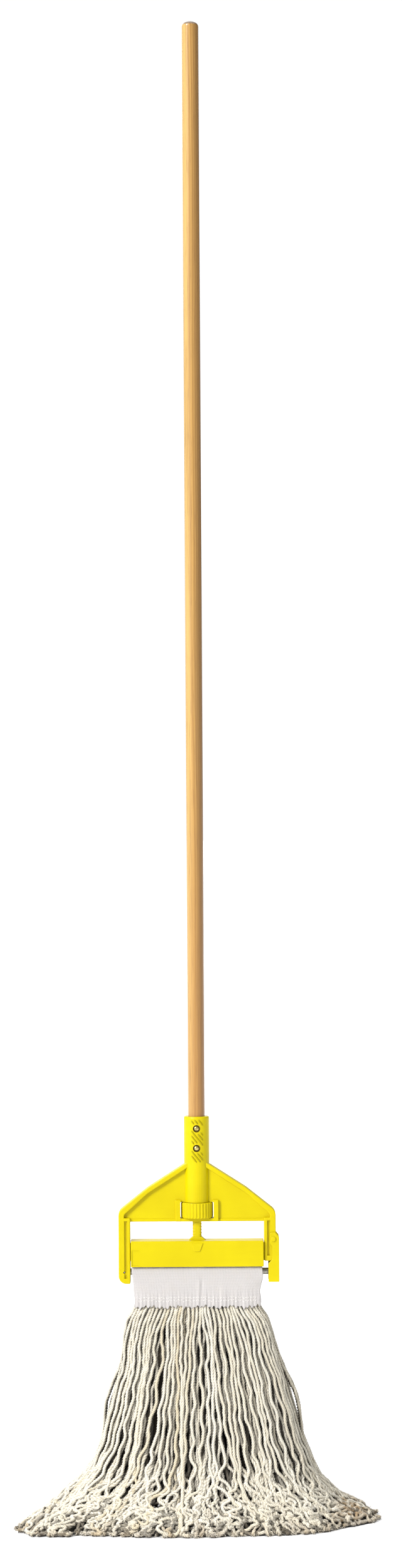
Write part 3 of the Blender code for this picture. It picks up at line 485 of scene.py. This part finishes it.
class Surface:
    """The front half of the skirt's surface over fall and share, both even in length.

    Fall runs from 0 at the fold to 1 at the rim on the floor, share from -1 at the left to 1.
    """

    ROWS, COLUMNS = 161, 241
    ARC_POINTS = 961  # around half a cross section, before they are spaced evenly
    SMOOTHINGS = 6

    def __init__(self):
        table = np.array(SKIRT)
        steps = np.hypot(np.diff(table[:, 0]), np.hypot(np.diff(table[:, 1]), np.diff(table[:, 2])) * 0.75)
        at = np.concatenate([[0.0], np.cumsum(steps)])
        even = np.linspace(0, at[-1], self.ROWS)
        height, width, depth, power = (np.interp(even, at, column) for column in table.T)
        for _ in range(self.SMOOTHINGS):
            for row in (height, width, depth):
                row[1:-1] = 0.25 * row[:-2] + 0.5 * row[1:-1] + 0.25 * row[2:]
        angle = np.linspace(-pi / 2, pi / 2, self.ARC_POINTS)[None, :]
        power = power[:, None]
        reach = (np.abs(np.sin(angle)) ** power + np.abs(np.cos(angle)) ** power) ** (-1 / power)
        x = width[:, None] * reach * np.sin(angle)
        y = -depth[:, None] * reach * np.cos(angle)
        self.points = np.empty((self.ROWS, self.COLUMNS, 3))
        for k in range(self.ROWS):
            distance = np.concatenate([[0.0], np.cumsum(np.hypot(np.diff(x[k]), np.diff(y[k])))])
            even = np.linspace(0, distance[-1], self.COLUMNS)
            self.points[k, :, 0] = np.interp(even, distance, x[k])
            self.points[k, :, 1] = np.interp(even, distance, y[k])
            self.points[k, :, 2] = height[k]
        down = np.gradient(self.points, axis=0) * (self.ROWS - 1)
        across = np.gradient(self.points, axis=1) * (self.COLUMNS - 1) / 2
        out = np.cross(down, across)
        self.normals = out / np.linalg.norm(out, axis=2, keepdims=True)
        self.lengths = np.stack([np.linalg.norm(down, axis=2), np.linalg.norm(across, axis=2)], axis=2)

    def look(self, grid, fall, share):
        """A grid's value between its points."""
        row = np.clip(fall, 0, 1) * (self.ROWS - 1)
        column = (np.clip(share, -1, 1) + 1) / 2 * (self.COLUMNS - 1)
        i = np.minimum(row.astype(int), self.ROWS - 2)
        j = np.minimum(column.astype(int), self.COLUMNS - 2)
        a, b = (row - i)[..., None], (column - j)[..., None]
        upper = grid[i, j] * (1 - b) + grid[i, j + 1] * b
        lower = grid[i + 1, j] * (1 - b) + grid[i + 1, j + 1] * b
        return upper * (1 - a) + lower * a


def make_clumps():
    """A smooth sideways drift that gathers neighbouring strands and opens gaps between them."""
    waves = []
    for _ in range(CLUMP_WAVES):
        length = rng.uniform(*CLUMP_LENGTHS)
        size = CLUMP_SIZE * length * rng.uniform(0.6, 1.0)
        waves.append((size, 2 * pi / length, rng.uniform(-9, 9), rng.uniform(0, 2 * pi)))
    return lambda share, fall: sum(
        size * np.sin(pitch * share + rate * fall + phase) for size, pitch, rate, phase in waves
    )


def trace_layer(surface, layer, clumps):
    """The home share of each of a layer's strands, and its fall and share at each step of its path.

    Neighbours swing nearly in step at first. Further down their pace, lean and whim part them,
    until they curl freely in the pile.
    """
    count = LAYER_COUNTS[layer]
    edge = 1 - 0.9 / count
    home = np.linspace(-edge, edge, count) + rng.normal(0, 0.12 / count, count)
    start = LAYER_STARTS[layer]
    fall = np.full(count, start) + (rng.uniform(0, 0.16, count) if start else 0)
    share = home.copy()
    pace = rng.normal(1.0, 0.18, count)
    phase = 9.0 * np.sin(2.1 * home + layer) + rng.normal(0, 0.22, count) + 2.0 * layer
    lean = rng.uniform(0, 2 * pi, (3, count))
    lean_rate = 2 * pi / rng.uniform(0.05, 0.14, (3, count))
    whim = np.zeros(count)
    falls, shares = [fall], [share]
    for k in range(LONGEST_STEPS):
        turn = np.interp(fall, SWING_AT, SWING)
        waves = np.interp(fall, SWING_AT, SWING_LENGTH)
        low = ease(fall, 0.5, 0.95)
        phase = phase + 2 * pi * TRACE_STEP / waves * (1 + (pace - 1) * (0.15 + 1.6 * low))
        drift = np.sin(lean + lean_rate * k * TRACE_STEP).sum(axis=0) * (0.015 + 0.10 * low)
        whim = 0.78 * whim + 0.62 * rng.normal(0, 1, count)
        heading = np.radians(turn) * np.sin(phase) + drift + 0.85 * low**2 * whim
        lengths = surface.look(surface.lengths, fall, share)
        back = (home - share) * SPRING_BACK * TRACE_STEP
        share = np.clip(share + np.sin(heading) * TRACE_STEP / lengths[:, 1] + back, -1, 1)
        fall = np.maximum(fall + np.cos(heading) * TRACE_STEP / lengths[:, 0], 0)
        falls.append(fall)
        shares.append(share)
    falls, shares = np.array(falls), np.array(shares)
    shares = shares + clumps(shares, falls) * ease(falls, 0.03, 0.3)
    return home, falls, np.clip(shares, -SHARE_LIMIT, SHARE_LIMIT)


def crinkled(surface, fall, share, distance):
    """A strand's share with its small kinks."""
    crinkle = rippled(distance, 0.030, 0.013) * (0.0003 + 0.0008 * ease(fall, *FREE_FALL))
    across = surface.look(surface.lengths, fall, share)[:, 1]
    return np.clip(share + crinkle / across, -SHARE_LIMIT, SHARE_LIMIT)


def strand_inset(layer, fall, distance):
    """How deep a strand's centre line lies under the skirt's surface."""
    low = ease(fall, *PILE_FALL)
    free = ease(fall, *FREE_FALL)
    inset = STRAND_RADIUS + LAYER_DEPTHS[layer] * (0.0026 + 0.0014 * free - 0.0018 * low)
    inset += (1 + rippled(distance, 0.06, 0.02)) * (0.0003 + 0.0006 * free + 0.0018 * low)
    inset += (1 + rippled(distance, 0.028, 0.012)) * 0.0010 * low
    if LAYER_STARTS[layer]:
        inset += START_DEPTH * (1 - ease(fall - fall[0], 0.0, 0.06))
    return inset


def settle(line, to_end, last_fall):
    """Narrow the skirt's left half, turn the foot's tips and lay the cut end on the floor."""
    tucked = LEFT_TUCK * ease(line[:, 2], 0.035, 0.095) * (1 - ease(line[:, 2], 0.20, 0.27))
    line[:, 0] *= np.where(line[:, 0] < 0, 1 - tucked, 1.0)
    left = ease(-line[:, 0], *TIP_REACH)
    right = ease(line[:, 0], *TIP_REACH)
    line[:, 1] += fade(line[:, 2], 0.015, 0.07) * (RIGHT_TIP_BACK * right - LEFT_TIP_FORWARD * left)
    line[:, 2] *= 1 - END_DROOP * np.exp(-((to_end / 0.012) ** 2)) * ease(last_fall, 0.86, 0.94)
    line[:, 2] = np.maximum(line[:, 2], STRAND_RADIUS * LIFT_OFF_FLOOR)


def strand_line(surface, layer, facing, falls, shares):
    """The centre line of one strand, from the fold to its cut end, and the way out of the skirt."""
    stop = rng.uniform(*LAYER_ENDS[layer])
    past = np.nonzero(falls >= stop)[0]
    count = min(past[0] if len(past) else len(falls), LONGEST_STEPS)
    fall, share = falls[:count], shares[:count]
    distance = np.arange(count) * TRACE_STEP
    share = crinkled(surface, fall, share, distance)
    inset = strand_inset(layer, fall, distance)
    outs = surface.look(surface.normals, fall, share)
    line = surface.look(surface.points, fall, share) - outs * inset[:, None]
    line[:, 1] = np.minimum(line[:, 1], -MIDDLE_GAP)
    line[:, 1] *= -facing
    outs[:, 1] *= -facing
    to_end = (count - 1 - np.arange(count)) * TRACE_STEP
    settle(line, to_end, fall[-1])
    fine = smooth_line(line, RING_STEPS[layer])
    at, even = np.linspace(0, 1, count), np.linspace(0, 1, len(fine))
    return fine, np.column_stack([np.interp(even, at, outs[:, k]) for k in range(3)])


def add_strand(tubes, line, outs, plies, tone, frayed, depth=0.0):
    """One strand of twisted plies, swelling at a cut end, with painted shade on its inner side.

    depth is the painted shade of its whole layer.
    """
    distance = along(line)
    spokes = 2 * plies
    ridge = np.where(np.arange(spokes) % 2 == 0, 1 + LOBE, 1 - LOBE)
    slub = 1 + 0.06 * rippled(distance, 0.05, 0.02)
    to_end = distance[-1] - distance
    swell = 1 + (END_SWELL * np.exp(-to_end / 0.003) if frayed else 0)
    radii = STRAND_RADIUS * (slub * swell)[:, None] * ridge[None, :]
    turns = 2 * pi * distance / TWIST_PITCH + rng.uniform(0, 2 * pi)
    soil = np.exp(-to_end / 0.03) * rng.uniform(0.0, 0.6) if frayed else 0 * distance
    off_patch = (line - np.array(STAIN_CENTRE)) / np.array(STAIN_REACH)
    patch = np.exp(-(off_patch**2).sum(axis=1)) * (0.5 + 0.9 * rippled(distance, 0.02, 0.008))
    soil = np.clip(soil + np.maximum(patch, 0) * rng.uniform(0.0, 3.0), 0, 1)
    values = np.empty((len(line), spokes, 4))
    values[:, :, 0] = tone
    # odd spokes lie in the ply valleys, which get painted shade
    values[:, :, 1] = (np.arange(spokes) % 2)[None, :]
    values[:, :, 2] = soil[:, None]
    directions = spokes_around(line, spokes, turns)
    # painted shade on the side of each strand that faces into the skirt, with darker edges near the top, and
    # over each inner layer as a whole
    inward = -(directions * outs[:, None, :]).sum(axis=2)
    in_pile = fade(line[:, 2], 0.03, 0.10)[:, None]
    gathered = ease(line[:, 2], 0.16, 0.26)[:, None]
    edge_shade = ease(inward, -0.56 - 0.12 * gathered, 0.10 - 0.37 * gathered)
    values[:, :, 3] = np.maximum(depth * (1 - 0.12 * in_pile), edge_shade)
    tubes.add(line, radii, directions, values)


def add_fray(tubes, end, direction, tone):
    """Loose fibres standing out of a cut end."""
    for _ in range(FRAY_FIBRES):
        way = direction + rng.normal(0, 0.55, 3)
        way /= np.linalg.norm(way)
        droop = np.array((0, 0, -0.0012)) * rng.uniform(0, 1)
        base = end + rng.normal(0, 0.0009, 3) - direction * 0.001
        reach = rng.uniform(*FRAY_REACH)
        line = np.array([base, base + way * reach * 0.5, base + way * reach + droop])
        line[:, 2] = np.maximum(line[:, 2], 0.0006)
        radii = np.outer((0.00038, 0.00028, 0.00008), np.ones(3))
        values = np.tile((tone, 0.0, 0.25, 0.0), (3, 3, 1)).astype(float)
        tubes.add(line, radii, spokes_around(line, 3), values)


def strand_tone():
    """Most strands are cream, and a few are tan."""
    return rng.uniform(0.85, 1.0) if rng.random() < TAN_SHARE else rng.uniform(0.0, 0.7)


def bow_out(line, side):
    """Push part of a strand out to the side, as a loose strand hangs."""
    bowed = line.copy()
    bowed[:, 0] += side * BOW_REACH * np.exp(-(((line[:, 2] - BOW_HEIGHT) / BOW_SPAN) ** 2))
    return bowed


def make_skirt(material):
    """Layers of strands in front and behind, in one piece for each yarn bundle."""
    surface = Surface()
    for half, facing in (("front", -1), ("back", 1)):
        bundles = {part: Tubes() for part in ("left", "centre", "right")}
        for layer in range(len(LAYER_COUNTS)):
            home, falls, shares = trace_layer(surface, layer, make_clumps())
            for k, u in enumerate(home):
                part = "left" if u < -BUNDLE_SPLIT else "right" if u > BUNDLE_SPLIT else "centre"
                line, outs = strand_line(surface, layer, facing, falls[:, k], shares[:, k])
                if layer == 0 and k in (1, len(home) - 2):
                    line = bow_out(line, np.sign(u))
                tone = strand_tone()
                add_strand(bundles[part], line, outs, LAYER_PLIES[layer], tone, True, LAYER_SHADE[layer])
                direction = line[-1] - line[-3]
                add_fray(bundles[part], line[-1], direction / np.linalg.norm(direction), tone)
        for part, tubes in bundles.items():
            piece = tubes.build(f"strands_{half}_{part}", material, YARN_VALUES)
            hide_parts(f"yarn_{half}_{part}")
            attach(piece, "root")


def make_fold(material):
    """The strands' middles, bent over the crossbar in two staggered rows."""
    low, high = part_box("yarn_fold")
    bar_low, bar_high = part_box("crossbar")
    bar_centre = (bar_low.z + bar_high.z) / 2
    bar_radius = (bar_high.z - bar_low.z) / 2
    tubes = Tubes()
    outermost = high.y - STRAND_RADIUS
    innermost = bar_radius + STRAND_RADIUS
    for row, radius in enumerate((outermost, innermost)):
        span = high.x - low.x - 2 * STRAND_RADIUS
        for k in range(FOLD_COUNT - row):
            x = low.x + STRAND_RADIUS + span * (k + 0.5 * row) / (FOLD_COUNT - 1)
            points = [(x, -radius, low.z), (x, -radius, (low.z + bar_centre) / 2)]
            for step in range(BEND_STEPS + 1):
                turn = pi * step / BEND_STEPS
                wander = 0.0003 * sin(2 * turn + k)
                points.append((x + wander, -radius * cos(turn), bar_centre + radius * sin(turn)))
            points += [(x, radius, (low.z + bar_centre) / 2), (x, radius, low.z)]
            line = smooth_line(np.array(points), RING_STEPS[0])
            outs = line - np.array((x, 0, bar_centre))
            outs /= np.linalg.norm(outs, axis=1, keepdims=True)
            add_strand(tubes, line, outs, 4, strand_tone(), frayed=False)
    piece = tubes.build("strands_over_crossbar", material, YARN_VALUES)
    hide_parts("yarn_fold")
    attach(piece, "root")


# ---------------------------------------------------------------- headband
def band_profile(distance):
    """y, z, the outward direction and the share of the drop, by distance from the front hem."""
    low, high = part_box("headband")
    bar_low, bar_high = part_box("crossbar")
    centre = (bar_low.z + bar_high.z) / 2
    radius = high.z - BAND_THICKNESS - centre
    flare = high.y - BAND_THICKNESS
    drop = (BAND_LENGTH - pi * radius) / 2
    behind = distance > BAND_LENGTH / 2
    near = np.where(behind, BAND_LENGTH - distance, distance)
    share = np.clip(near / drop, 0, 1)
    turn = np.clip((near - drop) / radius, 0, pi / 2)
    y = -(flare + (radius - flare) * share) * np.cos(turn)
    z = centre - drop * (1 - share) + radius * np.sin(turn)
    out_y, out_z = -np.cos(turn), np.sin(turn)
    side = np.where(behind, -1.0, 1.0)
    return side * y, z, side * out_y, out_z, 1 - share


def make_band_relief():
    """How far the band stands out, by place: pleats, yarn ribs near the hem and a middle crease."""
    pleats = []
    for _ in range(PLEATS):
        centre, width = rng.uniform(-0.085, 0.085), rng.uniform(0.0014, 0.0045)
        pleats.append((centre, width, rng.uniform(-0.0007, 0.0010), rng.uniform(0.35, 1.0)))

    def relief(x, low_share, front):
        total = np.zeros_like(x)
        for centre, width, height, reach in pleats:
            place = centre if front else -centre * 0.93
            total += height * np.exp(-(((x - place) / width) ** 2)) * ease(low_share, 1 - reach, 1.0)
        total += 0.0006 * np.sin(2 * pi * x / YARN_RIB_PITCH) * ease(low_share, 0.35, 1.0)
        if front:
            dip = np.exp(-(((x - BAND_CREASE_X) / 0.0016) ** 2))
            lip = 0.6 * np.exp(-(((x - BAND_CREASE_X + 0.0042) / 0.0022) ** 2))
            total -= 0.0009 * (dip - lip) * ease(low_share, 0.08, 0.35)
        return total

    return relief


def band_point(x, distance, relief, out=0.0):
    """A point of the band's surface at rest, out metres off its inner side."""
    y, z, out_y, out_z, low_share = band_profile(distance)
    narrowing = 1 - 0.035 * ease(low_share, 0.0, 0.6)
    front = relief(x, low_share, True)
    back = relief(x, low_share, False)
    raised = np.where(distance < BAND_LENGTH / 2, front, back) + out
    raised = raised - BAND_HUG * (np.abs(x) / (BAND_WIDTH / 2)) ** 8 * ease(low_share, 0.0, 0.5)
    hem = 0.0010 * np.sin(x * 170) + 0.0012 * np.sin(x * 530 + 2) + 0.0015 * np.sin(x * 1150 + 1)
    z = z + hem * ease(low_share, 0.55, 1.0)
    return np.stack([x * narrowing, y + raised * out_y, z + raised * out_z], axis=-1)


def make_headband(material, thread):
    """The mesh band over the fold: a closed thin sheet with pleats, a crease and sewn rows."""
    relief = make_band_relief()
    across = np.linspace(-BAND_WIDTH / 2, BAND_WIDTH / 2, BAND_COLUMNS + 1)
    distance = np.linspace(0, BAND_LENGTH, BAND_ROWS + 1)
    x, s = np.meshgrid(across, distance)
    edge = 0.0006 * np.sin(s * 210) * np.abs(x) / (BAND_WIDTH / 2)
    inner = band_point(x + edge, s, relief)
    outer = band_point(x + edge, s, relief, BAND_THICKNESS)
    cloth = np.stack([x, s, np.zeros_like(x)], axis=-1)
    columns, rows = BAND_COLUMNS + 1, BAND_ROWS + 1
    size = columns * rows
    number = np.arange(size).reshape(rows, columns)
    a, b, c, d = number[:-1, :-1], number[:-1, 1:], number[1:, 1:], number[1:, :-1]
    faces = np.stack([a, b, c, d], axis=-1).reshape(-1, 4)
    faces = np.vstack([faces[:, ::-1], faces + size])
    rim = np.concatenate([number[0, :], number[1:, -1], number[-1, -2::-1], number[-2:0:-1, 0]])
    following = np.roll(rim, -1)
    walls = np.stack([rim, following, following + size, rim + size], axis=-1)
    faces = np.vstack([faces, walls])
    points = np.vstack([inner.reshape(-1, 3), outer.reshape(-1, 3)])
    values = {"cloth": ("FLOAT_VECTOR", np.vstack([cloth.reshape(-1, 3)] * 2))}
    band = make_mesh_object("mesh_headband", points, faces.tolist(), material, values)
    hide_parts("headband")
    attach(band, "root")
    stitches = make_stitching(relief, thread)


def make_stitching(relief, material):
    """Rows of lock stitches through the band and the yarn, on both faces."""
    tubes = Tubes()
    share = np.linspace(0, 1, 5)
    lift = BAND_THICKNESS + THREAD_RADIUS * (1.6 * np.sin(pi * share) - 0.7)
    radii = THREAD_RADIUS * np.outer((0.5, 1.0, 1.0, 1.0, 0.5), np.ones(6))
    for row in (*STITCH_ROWS, *(BAND_LENGTH - near for near in reversed(STITCH_ROWS))):
        for start in np.arange(-0.081, 0.079, STITCH_PITCH):
            line = band_point(start + STITCH_LENGTH * share, np.full(5, row), relief, lift)
            tubes.add(line, radii, spokes_around(line, 6), np.zeros((5, 6, 1)))
    piece = tubes.build("headband_stitching", material, ("plain",))
    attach(piece, "root")
    return piece


# ---------------------------------------------------------------- moulded detail on the socket
def make_grip_ribs(material):
    """Low diagonal ribs moulded on the front of the socket, clear of the rivets."""
    low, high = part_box("head_frame")
    rivets = [sum(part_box(name), Vector()) / 2 for name in ("rivet_upper", "rivet_lower")]
    bottom, top = high.z - RIB_ZONE, high.z - 0.0035
    tubes = Tubes()
    for k in range(-5, int(RIB_ZONE / RIB_PITCH) + 6):
        run = []
        runs = [run]
        for step in range(RIB_STEPS + 1):
            turn = radians(RIB_REACH[0] + (RIB_REACH[1] - RIB_REACH[0]) * step / RIB_STEPS)
            z = bottom + k * RIB_PITCH - RIB_SLOPE * turn * SOCKET_RADIUS
            clear = all(np.hypot(SOCKET_RADIUS * turn, z - rivet.z) > RIVET_CLEARANCE for rivet in rivets)
            if bottom < z < top and clear:
                run.append((SOCKET_RADIUS * sin(turn), -SOCKET_RADIUS * cos(turn), z))
            elif run:
                run = []
                runs.append(run)
        for points in runs:
            if len(points) >= 4:
                line = np.array(points)
                inward = np.minimum(np.arange(len(line)), np.arange(len(line))[::-1])
                radii = RIB_RADIUS * np.outer(np.minimum(1.0, inward * 0.4 + 0.5), np.ones(10))
                tubes.add(line, radii, spokes_around(line, 10), np.zeros((len(line), 10, 1)))
    piece = tubes.build("socket_grip_ribs", material, ("plain",))
    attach(piece, "root")


# ---------------------------------------------------------------- CAD nodes, stage, lights, camera
def dress_cad_nodes(plastic, wood, steel, chromate):
    """Give each CAD node that stays its finished material."""
    finishes = {
        "head_frame": plastic,
        "thumbwheel": plastic,
        "clamp_bar": plastic,
        "gate_arm": plastic,
        "handle_pole": wood,
        "crossbar": steel,
        "crossbar_pin": steel,
        "gate_hinge_pin": plastic,
        "gate_pin_washer": plastic,
        "rivet_upper": chromate,
        "rivet_lower": chromate,
        "rivet_washer_upper": chromate,
        "rivet_washer_lower": chromate,
    }
    for name, material in finishes.items():
        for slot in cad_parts[name].material_slots:
            slot.material = material


def make_floor():
    """A wide pale floor."""
    material, tree, shader = new_material("pale_floor")
    mottled = noise(tree, placed(tree, (1, 1, 1)), 3.0, 2.0)
    colour = mixed(tree, mottled, (0.94, 0.94, 0.94), (0.96, 0.96, 0.96))
    tree.links.new(colour, shader.inputs["Base Color"])
    set_values(shader, Roughness=0.9, Specular_IOR_Level=0.1)
    reach = 60.0
    corners = [(-reach, -reach, 0), (reach, -reach, 0), (reach, reach, 0), (-reach, reach, 0)]
    floor = make_mesh_object("floor", corners, [(0, 1, 2, 3)], material)


def add_sun(name, toward, strength, softness):
    """A soft lamp that shines from the direction toward."""
    data = bpy.data.lights.new(name, "SUN")
    data.energy = strength
    data.angle = radians(softness)
    lamp = bpy.data.objects.new(name, data)
    lamp.rotation_mode = "QUATERNION"
    lamp.rotation_quaternion = Vector(toward).to_track_quat("Z", "Y")
    bpy.context.scene.collection.objects.link(lamp)


def make_light():
    """A key from the upper left, a weak fill, light from above and behind, and a white surround."""
    add_sun("key", (-0.66, -0.68, 0.50), 3.35, 20)
    add_sun("fill", (0.75, -0.60, 0.30), 0.12, 60)
    add_sun("overhead", (0.05, -0.10, 1.0), 1.5, 70)
    add_sun("back", (-0.15, 0.8, 0.6), 1.3, 60)
    world = bpy.data.worlds.new("surround")
    bpy.context.scene.world = world
    world.use_nodes = True
    tree = world.node_tree
    tree.nodes.clear()
    direction = add_node(tree, "ShaderNodeTexCoord").outputs["Generated"]
    sideways = add_node(tree, "ShaderNodeSeparateXYZ", {0: direction}).outputs["X"]
    strength = spread(tree, sideways, -0.9, 0.9, 0.60, 0.14)
    ambient = add_node(tree, "ShaderNodeBackground", {"Color": (1, 1, 1, 1), "Strength": strength})
    seen = add_node(tree, "ShaderNodeBackground", {"Color": (1, 1, 1, 1), "Strength": 1.05})
    direct = add_node(tree, "ShaderNodeLightPath").outputs["Is Camera Ray"]
    both = add_node(tree, "ShaderNodeMixShader", {0: direct, 1: ambient.outputs[0], 2: seen.outputs[0]})
    add_node(tree, "ShaderNodeOutputWorld", {"Surface": both.outputs[0]})


def make_camera():
    """A long lens in front of the mop, level, at half its height."""
    data = bpy.data.cameras.new("camera")
    data.sensor_width = SENSOR
    data.lens = SENSOR * CAMERA_DISTANCE / FRAMED_HEIGHT
    camera = bpy.data.objects.new("camera", data)
    camera.location = (CAMERA_SIDE, -CAMERA_DISTANCE, CAMERA_HEIGHT)
    camera.rotation_euler = (radians(90), CAMERA_ROLL, 0)
    bpy.context.scene.collection.objects.link(camera)
    bpy.context.scene.camera = camera


bpy.context.scene.view_settings.view_transform = "Standard"
make_camera()
make_light()
make_floor()
yellow_plastic = make_plastic("moulded_yellow_plastic", 1.0)
cotton = make_cotton()
zinc = make_steel("zinc_plated_steel", (0.40, 0.38, 0.33), (0.23, 0.215, 0.185))
chromate_zinc = make_steel("yellow_chromate_steel", (0.62, 0.52, 0.20), (0.36, 0.29, 0.11))
dress_cad_nodes(yellow_plastic, make_wood(), zinc, chromate_zinc)
# the ribs get a darker copy of the yellow, as painted shade that sets them off from the socket
make_grip_ribs(make_plastic("painted_shade_yellow_ribs", 0.62))
make_fold(cotton)
make_skirt(cotton)
make_headband(make_mesh_cloth(), make_thread())
